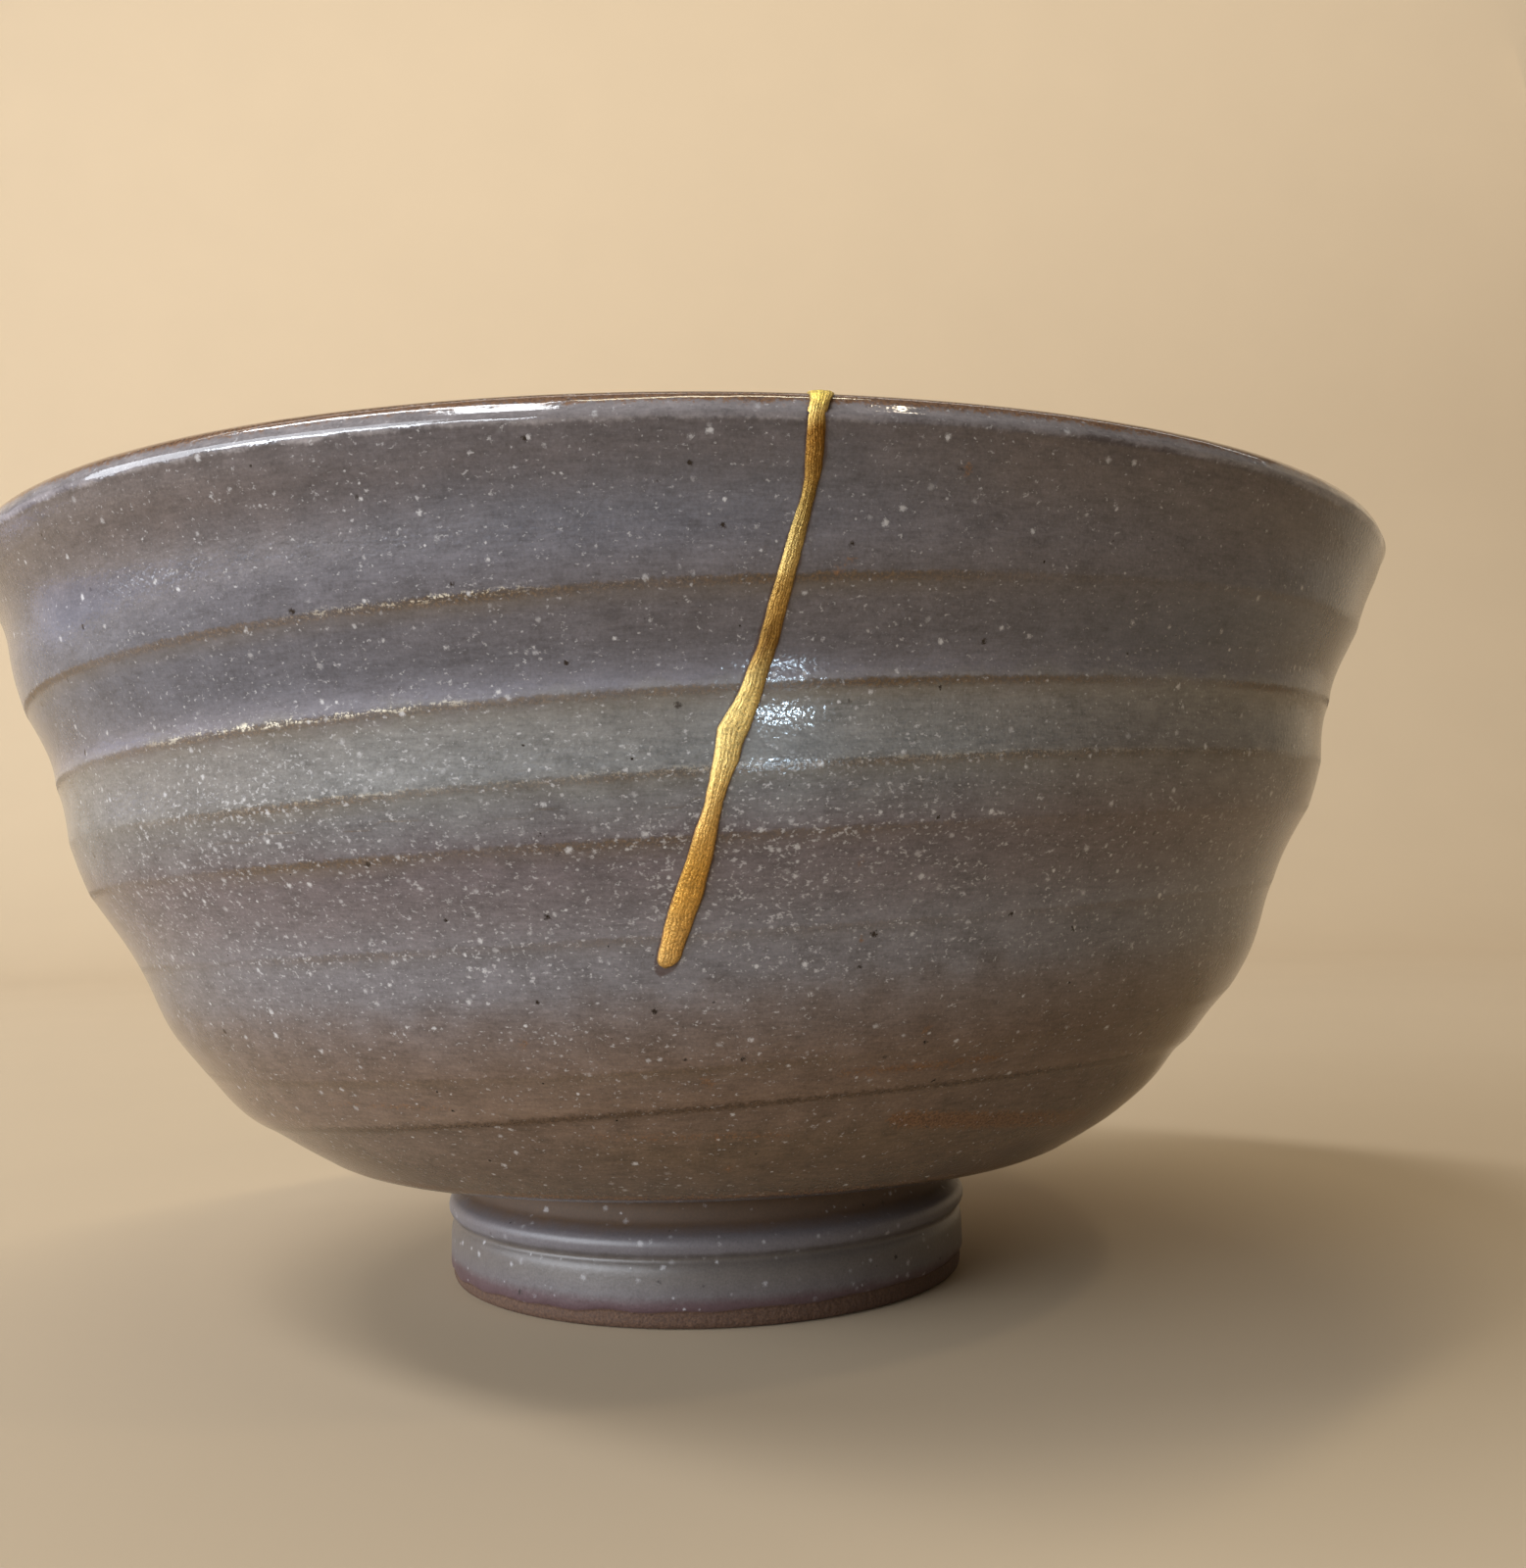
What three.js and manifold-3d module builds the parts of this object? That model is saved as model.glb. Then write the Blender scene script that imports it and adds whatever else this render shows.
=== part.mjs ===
// A hand-thrown stoneware bowl with a turned foot ring. One crack runs down from its rim and is
// mended in the kintsugi way, with a raised line of gold-dusted lacquer that goes over the lip and
// down the inside.
// Millimetres, +Z up. The origin is on the flat underside of the foot, below the middle of the rim.
// The crack faces -Y. An azimuth is in degrees, 0 at -Y and rising towards +X.
import * as THREE from "three";
import { mergeVertices } from "three/addons/utils/BufferGeometryUtils.js";
import Module from "manifold-3d";

const wasm = await Module();
wasm.setup();

// ---- driving dimensions ----

const RIM_RADIUS = 63;
const HEIGHT = 64.25;
const RIM_SLANT = 0.25; // the rim is this much higher at -X, and as much lower at +X
const LIP_RADIUS = 1.7; // the rounded edge of the rim

const FOOT_RADIUS = 24; // widest part of the foot ring
const FOOT_INNER_RADIUS = 19.8;
const FOOT_OFFSET = 0.5; // the foot was turned this far off centre, towards +X
const FOOT_CHAMFER = 0.4;
const BARE_CLAY_HEIGHT = 1.7; // the glaze stops this far above the table
const GLAZE_STEP = 0.2;
const GROOVE_HEIGHT = 5.6; // the scored line round the foot
const GROOVE_DEPTH = 0.5;
const SHOULDER_HEIGHT = 7.7; // top of the foot ring's bead
const NECK_RADIUS = 22.4;
const NECK_HEIGHT = 9.6;
const RECESS_HEIGHT = 5.9; // hollow underneath, inside the foot ring

const UNDERSIDE_EDGE = new THREE.Vector2(35, 12.6); // corner between belly and underside
const FLOOR_HEIGHT = 12.2; // inside, at the centre

// The throwing spiral: a broad swell and a ledge for each turn, climbing towards +azimuth.
const SPIRAL_PITCH = 15; // mm of height for each turn
const SPIRAL_LEDGE = 47.4; // height of its ledge at azimuth 0
const SPIRAL_RANGE = [22, 58]; // heights between which it shows
const SPIRAL_FADE = 4;
const SWELL = 0.48; // mm either side of the mean wall
const SWELL_CREST = 7; // mm from the ledge down to the swell's crest
const LEDGE = 0.3; // extra step just below the ledge
const LEDGE_WIDTH = 1.3;
const LEDGE_RANGE = [30, 42]; // the step grows to its full size between these heights

// The trimming line, a shallow corner that circles the belly askew.
const TRIM_HEIGHT = 17.5;
const TRIM_TILT = 4.2;
const TRIM_HIGH_AZIMUTH = 45;
const TRIM_STEP = 0.45; // out above the line and in below it
const TRIM_EDGE = 0.9;
const TRIM_REACH = 4.5;

// The mend. Each row is a height, the crack's azimuth there, and the line's width.
const CRACK_COURSE = [
  [29.8, -2.6, 1.1],
  [33.0, -1.4, 1.5],
  [37.0, 0.2, 1.2],
  [41.4, 1.3, 0.8],
  [44.5, 2.3, 1.6],
  [50.0, 4.4, 1.1],
  [56.0, 5.9, 1.05],
  [60.5, 6.6, 1.3],
  [63.0, 6.7, 0.9],
  [64.3, 6.8, 1.5],
];
const CRACK_END_INSIDE = 34; // height at which the line ends on the inner wall
const SEAM_PROUD = 0.3; // above the glaze
const SEAM_DEPTH = 0.7; // below it
const SEAM_CLEARANCE = 0.15; // all round, between the lacquer and its bed
const BED_PROUD = 2; // how far the cutter for the bed reaches out of the wall
const CROWN = 0.55; // share of its rise that the seam loses between its middle and its edges
const SEAM_END = 1.2; // length over which its ends are rounded

// ---- resolution ----

const AROUND = 64;
const BODY_STEPS = 28;
const LIP_STEPS = 6;
const INSIDE_STEPS = 12;
const SEAM_STEPS = 40;
const SEAM_STRIPS = 4;

// ---- the section, from the axis underneath round to the axis inside ----

const { degToRad, euclideanModulo, smoothstep } = THREE.MathUtils;
const v2 = (r, z) => new THREE.Vector2(r, z);

function undersideSection() {
  return [
    v2(0, RECESS_HEIGHT),
    v2(FOOT_INNER_RADIUS * 0.5, RECESS_HEIGHT - 0.2),
    v2(FOOT_INNER_RADIUS - 2.6, RECESS_HEIGHT - 0.5),
    v2(FOOT_INNER_RADIUS - 1.2, RECESS_HEIGHT - 1.5),
    v2(FOOT_INNER_RADIUS - FOOT_CHAMFER, FOOT_CHAMFER),
    v2(FOOT_INNER_RADIUS, 0),
  ];
}

function footSection() {
  const clay = FOOT_RADIUS - GLAZE_STEP;
  return [
    v2(clay - FOOT_CHAMFER, 0),
    v2(clay, FOOT_CHAMFER),
    v2(clay, BARE_CLAY_HEIGHT),
    v2(FOOT_RADIUS, BARE_CLAY_HEIGHT + GLAZE_STEP),
    v2(FOOT_RADIUS, GROOVE_HEIGHT - 0.6),
    v2(FOOT_RADIUS - GROOVE_DEPTH, GROOVE_HEIGHT),
    v2(FOOT_RADIUS + 0.2, GROOVE_HEIGHT + 0.6),
    v2(FOOT_RADIUS + 0.2, SHOULDER_HEIGHT - 0.5),
    v2(FOOT_RADIUS - 0.5, SHOULDER_HEIGHT),
    v2(NECK_RADIUS + 0.2, SHOULDER_HEIGHT + 0.7),
    v2(NECK_RADIUS, NECK_HEIGHT),
    v2(NECK_RADIUS + 0.6, NECK_HEIGHT + 1),
    v2(NECK_RADIUS + 2.6, NECK_HEIGHT + 1.7),
    v2(UNDERSIDE_EDGE.x - 1, UNDERSIDE_EDGE.y - 0.4),
  ];
}

// The mean outer wall, from the underside's edge up to where the lip's rounding begins.
const outerWall = new THREE.SplineCurve([
  UNDERSIDE_EDGE,
  v2(39.8, 15.7),
  v2(44.3, 20.2),
  v2(50.8, 30),
  v2(55.2, 40),
  v2(58.3, 50),
  v2(60.6, 57),
  v2(62.4, 60.8),
  v2(RIM_RADIUS, HEIGHT - LIP_RADIUS),
]);

const innerWall = new THREE.SplineCurve([
  v2(RIM_RADIUS - 2 * LIP_RADIUS, HEIGHT - LIP_RADIUS),
  v2(58.8, 60.3),
  v2(57.1, 56.5),
  v2(54.3, 50),
  v2(50.6, 40),
  v2(45.4, 30),
  v2(37, 20.6),
  v2(28, 15.6),
  v2(18, 13.2),
  v2(0, FLOOR_HEIGHT),
]);

// The round edge between the two walls, without the points that they end on.
function lipSection(steps) {
  const middle = v2(RIM_RADIUS - LIP_RADIUS, HEIGHT - LIP_RADIUS);
  return Array.from({ length: steps - 1 }, (_, i) => {
    const turn = (Math.PI * (i + 1)) / steps;
    return v2(Math.cos(turn), Math.sin(turn)).multiplyScalar(LIP_RADIUS).add(middle);
  });
}

// ---- the marks of throwing and turning, in millimetres outwards from the mean outer wall ----

function spiralRelief(azimuth, z) {
  const ledge = SPIRAL_LEDGE + (SPIRAL_PITCH * azimuth) / 360;
  const below = euclideanModulo(ledge - z, SPIRAL_PITCH);
  const swell = SWELL * Math.cos((2 * Math.PI * (below - SWELL_CREST)) / SPIRAL_PITCH);
  const step = LEDGE * smoothstep(z, ...LEDGE_RANGE) * Math.exp(-((below / LEDGE_WIDTH) ** 2));
  const [low, high] = SPIRAL_RANGE;
  const foot = smoothstep(z, low - SPIRAL_FADE, low + SPIRAL_FADE);
  const rim = smoothstep(z, high - SPIRAL_FADE, high + SPIRAL_FADE);
  return foot * (1 - rim) * (swell + step);
}

function trimRelief(azimuth, z) {
  const line = TRIM_HEIGHT + TRIM_TILT * Math.cos(degToRad(azimuth - TRIM_HIGH_AZIMUTH));
  const above = z - line;
  return TRIM_STEP * Math.tanh(above / TRIM_EDGE) * Math.exp(-Math.abs(above) / TRIM_REACH);
}

const outerRelief = (azimuth, z) => spiralRelief(azimuth, z) + trimRelief(azimuth, z);

// ---- from a section to the pot ----

// The point at a radius, an azimuth and a height, with the rim's slant.
function onPot(radius, azimuth, z) {
  const turn = degToRad(azimuth);
  const slant = RIM_SLANT * (z / HEIGHT) ** 2;
  return new THREE.Vector3(
    radius * Math.sin(turn),
    -radius * Math.cos(turn),
    z - slant * Math.sin(turn),
  );
}

// A LatheGeometry stands on +Y with its first column at +Z, so each column is placed afresh.
function bowlGeometry() {
  const foot = [...undersideSection(), ...footSection()];
  const body = outerWall.getSpacedPoints(BODY_STEPS);
  const inside = innerWall.getSpacedPoints(INSIDE_STEPS);
  const section = [...foot, ...body, ...lipSection(LIP_STEPS), ...inside];
  const geometry = new THREE.LatheGeometry(section, AROUND).rotateX(Math.PI / 2);
  const position = geometry.getAttribute("position");
  for (let i = 0; i < position.count; i++) {
    const row = i % section.length;
    const column = Math.floor(i / section.length) % AROUND;
    const azimuth = (360 * column) / AROUND;
    const { x: radius, y: z } = section[row];
    const onFoot = row < foot.length;
    const onBody = !onFoot && row < foot.length + body.length;
    const point = onPot(radius + (onBody ? outerRelief(azimuth, z) : 0), azimuth, z);
    if (onFoot) {
      point.x += FOOT_OFFSET * (1 - smoothstep(radius, FOOT_RADIUS + 1, UNDERSIDE_EDGE.x));
    }
    position.setXYZ(i, ...point);
  }
  return geometry;
}

// ---- the mend ----

// The stretch of the section that the crack crosses: up the outside, over the lip, down the inside.
const crackedSection = new THREE.SplineCurve([
  ...outerWall.getSpacedPoints(BODY_STEPS).filter((point) => inCrack(point, CRACK_COURSE[0][0])),
  ...lipSection(8),
  ...innerWall.getSpacedPoints(BODY_STEPS).filter((point) => inCrack(point, CRACK_END_INSIDE)),
]);

function inCrack(point, end) {
  return point.y > end && point.y < HEIGHT - LIP_RADIUS - 1;
}

const crackCourse = new THREE.CubicInterpolant(
  CRACK_COURSE.map((row) => row[0]),
  CRACK_COURSE.flatMap((row) => row.slice(1)),
  2,
);

// A box bent along the crack. It is spare wider on each side, and reaches from deep to proud.
function seamGeometry({ spare, deep, proud, strips }) {
  const geometry = new THREE.BoxGeometry(1, 1, 1, strips, SEAM_STEPS, 1);
  const length = crackedSection.getLength();
  const position = geometry.getAttribute("position");
  for (let i = 0; i < position.count; i++) {
    const across = position.getX(i);
    const along = position.getY(i) + 0.5;
    const outside = position.getZ(i) > 0;
    const wall = crackedSection.getPointAt(along);
    const tangent = crackedSection.getTangentAt(along);
    const [azimuth, width] = crackCourse.evaluate(wall.y);
    const fromEnd = (Math.min(along, 1 - along) * length) / SEAM_END;
    const taper = Math.sqrt(Math.min(1, fromEnd + 0.3));
    const side = across * (width * taper + 2 * spare);
    const lift = outside ? proud * (1 - CROWN * (2 * across) ** 2) : -deep;
    const relief = tangent.y > 0 ? outerRelief(azimuth, wall.y) : 0;
    const radius = wall.x + relief + lift * tangent.y;
    const sideways = THREE.MathUtils.radToDeg(side / wall.x);
    position.setXYZ(i, ...onPot(radius, azimuth + sideways, wall.y - lift * tangent.x));
  }
  return geometry;
}

// ---- joining and cutting ----

function toSolid(geometry) {
  const bare = geometry.clone().deleteAttribute("normal").deleteAttribute("uv");
  const merged = mergeVertices(bare, 1e-4);
  return new wasm.Manifold(
    new wasm.Mesh({
      numProp: 3,
      vertProperties: merged.getAttribute("position").array,
      triVerts: new Uint32Array(merged.index.array),
    }),
  );
}

function toGeometry(solid) {
  const { vertProperties, triVerts } = solid.getMesh();
  return new THREE.BufferGeometry()
    .setAttribute("position", new THREE.BufferAttribute(vertProperties, 3))
    .setIndex(new THREE.BufferAttribute(triVerts, 1));
}

const seam = seamGeometry({
  spare: 0,
  deep: SEAM_DEPTH,
  proud: SEAM_PROUD,
  strips: SEAM_STRIPS,
});

const seamBed = seamGeometry({
  spare: SEAM_CLEARANCE,
  deep: SEAM_DEPTH + SEAM_CLEARANCE,
  proud: BED_PROUD,
  strips: 1,
});

const bowl = toGeometry(toSolid(bowlGeometry()).subtract(toSolid(seamBed)));

// ---- the part ----

const stoneware = new THREE.MeshStandardMaterial({
  color: 0x85807f,
  roughness: 0.3,
  metalness: 0,
});

const goldLacquer = new THREE.MeshStandardMaterial({
  color: 0xc9962f,
  roughness: 0.35,
  metalness: 0.9,
});

function piece(name, geometry, material) {
  const mesh = new THREE.Mesh(geometry, material);
  mesh.name = name;
  return mesh;
}

const part = new THREE.Group();
part.add(piece("bowl", bowl, stoneware));
part.add(piece("gold_seam", seam, goldLacquer));

export default part;
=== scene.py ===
"""The looks of a kintsugi bowl: speckled glaze over thrown stoneware, and a gold-dusted seam.

Sizes are in millimetres, and MM turns them into Blender's metres. An azimuth is in degrees, 0 at
the front (-Y) and rising towards +X. A section is a list of (radius, height) points.
"""

import math

import bpy
import numpy as np
from mathutils import Matrix, Vector

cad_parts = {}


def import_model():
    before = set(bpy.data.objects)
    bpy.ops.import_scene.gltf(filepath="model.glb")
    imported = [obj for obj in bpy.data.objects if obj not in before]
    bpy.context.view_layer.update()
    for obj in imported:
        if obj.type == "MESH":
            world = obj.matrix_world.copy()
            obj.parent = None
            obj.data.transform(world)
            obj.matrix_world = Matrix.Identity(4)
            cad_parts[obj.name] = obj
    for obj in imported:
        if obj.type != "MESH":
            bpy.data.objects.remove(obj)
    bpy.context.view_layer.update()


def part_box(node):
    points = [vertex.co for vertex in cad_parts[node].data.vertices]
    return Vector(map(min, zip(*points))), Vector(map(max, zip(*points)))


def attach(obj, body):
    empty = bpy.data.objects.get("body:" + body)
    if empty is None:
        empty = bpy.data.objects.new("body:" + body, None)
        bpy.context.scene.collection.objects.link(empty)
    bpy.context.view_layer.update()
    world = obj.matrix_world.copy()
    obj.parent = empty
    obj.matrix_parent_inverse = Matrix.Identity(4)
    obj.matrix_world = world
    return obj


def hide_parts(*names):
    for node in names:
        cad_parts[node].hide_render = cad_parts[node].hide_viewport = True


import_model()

MM = 0.001

# ---- the pot's size, from the frame ----

LOW, HIGH = (np.array(corner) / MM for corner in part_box("bowl"))
RIM_RADIUS = (HIGH[0] - LOW[0]) / 2
RIM_SLANT = 0.25  # higher at -X and lower at +X
HEIGHT = HIGH[2] - RIM_SLANT
LIP_RADIUS = 1.7

# ---- the foot ----

FOOT_RADIUS = 24
FOOT_INNER_RADIUS = 19.8
FOOT_OFFSET = 0.5
FOOT_CHAMFER = 0.4
GLAZE_STEP = 0.2
GLAZE_EDGE = 1.45
GLAZE_EDGE_RISE = 0.35
GLAZE_EDGE_WAVER = 0.1
GLAZE_EDGE_REACH = 0.5
GROOVE_HEIGHT = 5.6
GROOVE_DEPTH = 0.5
SHOULDER_HEIGHT = 7.7
NECK_RADIUS = 22.4
NECK_HEIGHT = 9.6
RECESS_HEIGHT = 5.9
RECESS_GLAZE_RADIUS = 17.5
UNDERSIDE_EDGE = (35, 12.6)
FLOOR_HEIGHT = 12.2

# ---- the marks of throwing and turning ----

PITCH = 15  # one turn of the throwing spiral
SPIRAL_RANGE = (22, 58)
SPIRAL_FADE = 4
SWELL = 0.48
SWELL_CREST = 7
MAIN_LEDGE = 47.4
MAIN_RIDGE = 0.36
MAIN_RIDGE_RANGE = (30, 42)
SECOND_LEDGE = 53.5
SECOND_RIDGE = 0.15
FAINT_LEDGE = 42.5
FAINT_RIDGE = 0.13
SOFT_LEDGE = 50.1
TRIM_HEIGHT = 17.5
TRIM_TILT = 4.2
TRIM_HIGH_AZIMUTH = 45
TRIM_STEP = 0.45
TRIM_EDGE = 0.9
TRIM_REACH = 4.5
TRIM_BEAD = 0.1
INSIDE_RING = 0.1
INSIDE_RING_SPACING = 9
SLOW_UNEVENNESS = 0.07
QUICK_UNEVENNESS = 0.02

LINE_REACH = 1.6  # a line's colour stays within this height of it
LIP_ROLL = 0.14
LIP_ROLL_RANGE = (2.3, 1.7)  # the roll of glaze swells between these depths below the rim
LIP_BAND = 62.2  # the lower edge of the roll's colour
RUST_TOP = 63.2  # the lower edge of the rusty line along the top of the lip

# ---- the mend: height, azimuth and width of the line ----

CRACK_COURSE = np.array([
    (29.8, -2.6, 1.2),
    (31.0, -2.15, 1.5),
    (33.0, -1.4, 1.7),
    (34.6, -0.75, 1.9),
    (37.0, 0.2, 1.6),
    (39.0, 0.65, 1.35),
    (40.4, 1.1, 1.0),
    (42.0, 1.55, 1.25),
    (43.0, 1.9, 1.5),
    (44.0, 2.1, 1.65),
    (45.0, 2.4, 2.05),
    (46.5, 3.15, 1.6),
    (47.6, 3.55, 1.4),
    (50.0, 4.4, 1.3),
    (55.5, 5.75, 1.1),
    (57.0, 6.15, 0.95),
    (58.2, 6.45, 0.8),
    (59.3, 6.65, 1.05),
    (60.5, 6.7, 1.2),
    (62.6, 6.7, 1.15),
    (63.4, 6.95, 1.15),
    (64.0, 7.2, 1.5),
    (64.3, 7.3, 1.6),
])
CRACK_END_INSIDE = 34
SEAM_PROUD = 0.3
SEAM_DEPTH = 0.5
SEAM_END = 0.75  # length over which its ends are rounded

# ---- rust spots in the glaze: azimuth, height and radius ----

RUST_SPOTS = np.array([
    (0.5, 22.5, 0.5),
    (-14, 25.3, 0.45),
    (2.7, 15.5, 0.35),
    (18, 25.6, 0.4),
    (11, 36.9, 0.3),
    (12, 31.9, 0.3),
    (8, 54, 0.35),
    (9, 54.6, 0.25),
    (15.5, 60, 0.4),
    (131, 24, 0.5),
    (148, 41, 0.35),
    (-155, 19, 0.5),
    (-102, 33, 0.35),
    (96, 52, 0.35),
])
# Short rust lines round the turned edge: azimuth, half length in degrees, height, slope, half width.
SCARS = np.array([
    (33, 14, 17.8, -0.075, 0.75),
    (-1, 9, 18.3, -0.01, 0.2),
    (-30, 7, 20.4, 0.02, 0.12),
    (19, 7, 22.95, 0.035, 0.3),
    (140, 12, 15.0, -0.03, 0.3),
])

# ---- the camera: close in front, low, and turned a little to the right and up ----

CAMERA_PLACE = (0, -149.4, 35.2)
CAMERA_YAW = 2.52
CAMERA_PITCH = 3.91
CAMERA_ROLL = 1.13
SENSOR_HEIGHT = 36
FOCAL_LENGTH = 35.24

BOWL_MIDDLE = Vector((0, 0, 0.035))  # in metres, as the lights are

# ---- how finely the meshes are cut ----

AROUND = 396
WALL_STEPS = 118
LIP_STEPS = 14
INSIDE_STEPS = 44
SEAM_STEPS = 300
SEAM_GUIDE_STEPS = 80
SEAM_LIP_STEPS = 12
SEAM_ACROSS = 15

random = np.random.default_rng(7)


# ---- small sums ----

def smoothstep(x, low, high):
    t = np.clip((x - low) / (high - low), 0, 1)
    return t * t * (3 - 2 * t)


def catmull_rom(points, steps):
    """Evenly spaced points on the curve that the solid's walls also follow."""
    knots = np.array([points[0], *points, points[-1]], float)
    fine = []
    for before, start, end, after in zip(knots, knots[1:], knots[2:], knots[3:]):
        t = np.linspace(0, 1, 60)[:, None]
        leave, arrive = (end - before) / 2, (after - start) / 2
        fine.append(
            (2 * start - 2 * end + leave + arrive) * t**3
            + (-3 * start + 3 * end - 2 * leave - arrive) * t**2
            + leave * t
            + start
        )
    return respaced(np.concatenate(fine), steps)


def respaced(path, steps):
    """The same path as steps + 1 evenly spaced points."""
    run = np.concatenate([[0], np.cumsum(np.linalg.norm(np.diff(path, axis=0), axis=1))])
    stops = np.linspace(0, run[-1], steps + 1)
    return np.stack([np.interp(stops, run, column) for column in path.T], axis=1)


def rounded(points, radius, steps=4):
    """A section whose inner corners are rounded, each within radius of its corner."""
    points = np.array(points, float)
    path = [points[0]]
    for before, corner, after in zip(points, points[1:], points[2:]):
        reach = [min(radius, 0.45 * np.linalg.norm(end - corner)) for end in (before, after)]
        start = corner + (before - corner) * reach[0] / np.linalg.norm(before - corner)
        end = corner + (after - corner) * reach[1] / np.linalg.norm(after - corner)
        for t in np.linspace(0, 1, steps):
            path.append((1 - t) ** 2 * start + 2 * t * (1 - t) * corner + t * t * end)
    path.append(points[-1])
    return np.array(path)


def waves(azimuth, z, turns, rise, count):
    """Smooth unevenness, about -1 to 1, that closes on itself round the pot."""
    total = 0
    for _ in range(count):
        k = random.integers(*turns)
        slope = random.uniform(*rise)
        total = total + np.cos(np.radians(azimuth) * k + z * slope + random.uniform(0, 2 * np.pi))
    return total / math.sqrt(count)


# ---- the section ----

def underside_section():
    inner, top = FOOT_INNER_RADIUS, RECESS_HEIGHT
    return rounded([
        (0, top),
        (inner * 0.5, top - 0.2),
        (inner - 2.6, top - 0.5),
        (inner - 1.2, top - 1.5),
        (inner - FOOT_CHAMFER, FOOT_CHAMFER),
        (inner, 0),
        (FOOT_RADIUS - GLAZE_STEP - FOOT_CHAMFER, 0),
        (FOOT_RADIUS - GLAZE_STEP, FOOT_CHAMFER),
        (FOOT_RADIUS - GLAZE_STEP, GLAZE_EDGE - 0.25),
    ], radius=0.8)


def foot_section():
    """The glazed side of the foot, from the glaze's lower edge to the underside's corner."""
    outer, groove = FOOT_RADIUS, GROOVE_HEIGHT
    return rounded([
        (outer - GLAZE_STEP, GLAZE_EDGE - 0.1),
        (outer + 0.05, GLAZE_EDGE + 0.15),
        (outer, groove - 0.7),
        (outer - GROOVE_DEPTH, groove),
        (outer + 0.25, groove + 0.6),
        (outer + 0.2, SHOULDER_HEIGHT - 0.45),
        (outer - 0.6, SHOULDER_HEIGHT + 0.1),
        (NECK_RADIUS + 0.2, SHOULDER_HEIGHT + 0.7),
        (NECK_RADIUS, NECK_HEIGHT),
        (NECK_RADIUS + 0.6, NECK_HEIGHT + 1),
        (NECK_RADIUS + 2.6, NECK_HEIGHT + 1.7),
        (UNDERSIDE_EDGE[0] - 4, UNDERSIDE_EDGE[1] - 0.75),
        (UNDERSIDE_EDGE[0] - 1, UNDERSIDE_EDGE[1] - 0.4),
    ], radius=0.7)


def outer_wall(steps):
    return catmull_rom([
        UNDERSIDE_EDGE,
        (39.8, 15.7),
        (44.3, 20.2),
        (50.8, 30),
        (55.2, 40),
        (58.3, 50),
        (60.6, 57),
        (62.4, 60.8),
        (RIM_RADIUS, HEIGHT - LIP_RADIUS),
    ], steps)


def inner_wall(steps):
    return catmull_rom([
        (RIM_RADIUS - 2 * LIP_RADIUS, HEIGHT - LIP_RADIUS),
        (58.8, 60.3),
        (57.1, 56.5),
        (54.3, 50),
        (50.6, 40),
        (45.4, 30),
        (37, 20.6),
        (28, 15.6),
        (18, 13.2),
        (0, FLOOR_HEIGHT),
    ], steps)


def lip_section(steps):
    turn = np.linspace(0, np.pi, steps + 1)[1:-1]
    middle = (RIM_RADIUS - LIP_RADIUS, HEIGHT - LIP_RADIUS)
    return np.stack([np.cos(turn), np.sin(turn)], axis=1) * LIP_RADIUS + middle


# ---- relief, in millimetres outwards from the mean wall ----

def above_ledge(azimuth, z, ledge):
    """Height above the nearest turn of a spiral line, from -PITCH/2 to PITCH/2."""
    return (z - ledge - PITCH * azimuth / 360 + PITCH / 2) % PITCH - PITCH / 2


def above_line(azimuth, z, line):
    """Height above a line that climbs as the spiral does in front, and closes on itself behind."""
    return z - line - PITCH / (2 * np.pi) * np.sin(np.radians(azimuth)) * 1.2


def above_trim(azimuth, z):
    return z - TRIM_HEIGHT - TRIM_TILT * np.cos(np.radians(azimuth - TRIM_HIGH_AZIMUTH))


def crest(above, upper, lower):
    """A sharp ridge: it rises over upper from above, and dies away over lower underneath."""
    away = np.sqrt(above**2 + 0.2**2) - 0.2
    return np.exp(-away / np.where(above > 0, upper, lower))


def near_front(azimuth, middle, half, fade=30):
    """1 within half of an azimuth, falling to 0 over fade."""
    away = np.abs((azimuth - middle + 180) % 360 - 180)
    return 1 - smoothstep(away, half, half + fade)


def outer_relief(azimuth, z):
    main = above_ledge(azimuth, z, MAIN_LEDGE)
    below = -main % PITCH
    swell = SWELL * np.cos(2 * np.pi * (below - SWELL_CREST) / PITCH)
    ridge = MAIN_RIDGE * smoothstep(z, *MAIN_RIDGE_RANGE) * crest(main, 1.6, 1.8)
    second = SECOND_RIDGE * crest(above_ledge(azimuth, z, SECOND_LEDGE), 1.0, 0.9)
    faint = FAINT_RIDGE * crest(above_line(azimuth, z, FAINT_LEDGE), 1.2, 0.8)
    spiral = in_spiral(z) * (swell + ridge + second + faint)
    trim = above_trim(azimuth, z)
    turned = TRIM_STEP * np.tanh(trim / TRIM_EDGE) * np.exp(-np.abs(trim) / TRIM_REACH)
    low, high = (HEIGHT - depth for depth in LIP_ROLL_RANGE)
    lip_roll = LIP_ROLL * smoothstep(z, low, high)
    return spiral + turned + TRIM_BEAD * crest(trim, 0.5, 0.3) + lip_roll


def in_spiral(z):
    low, high = SPIRAL_RANGE
    started = smoothstep(z, low - SPIRAL_FADE, low + SPIRAL_FADE)
    return started * (1 - smoothstep(z, high - SPIRAL_FADE, high + SPIRAL_FADE))


def on_pot(radius, azimuth, z):
    """Points from a radius, an azimuth and a height, with the rim's slant."""
    turn = np.radians(azimuth)
    height = z - RIM_SLANT * (z / HEIGHT) ** 2 * np.sin(turn)
    return np.stack([radius * np.sin(turn), -radius * np.cos(turn), height], axis=-1)


def crack_azimuth(z):
    return np.interp(z, CRACK_COURSE[:, 0], CRACK_COURSE[:, 1])


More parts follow.
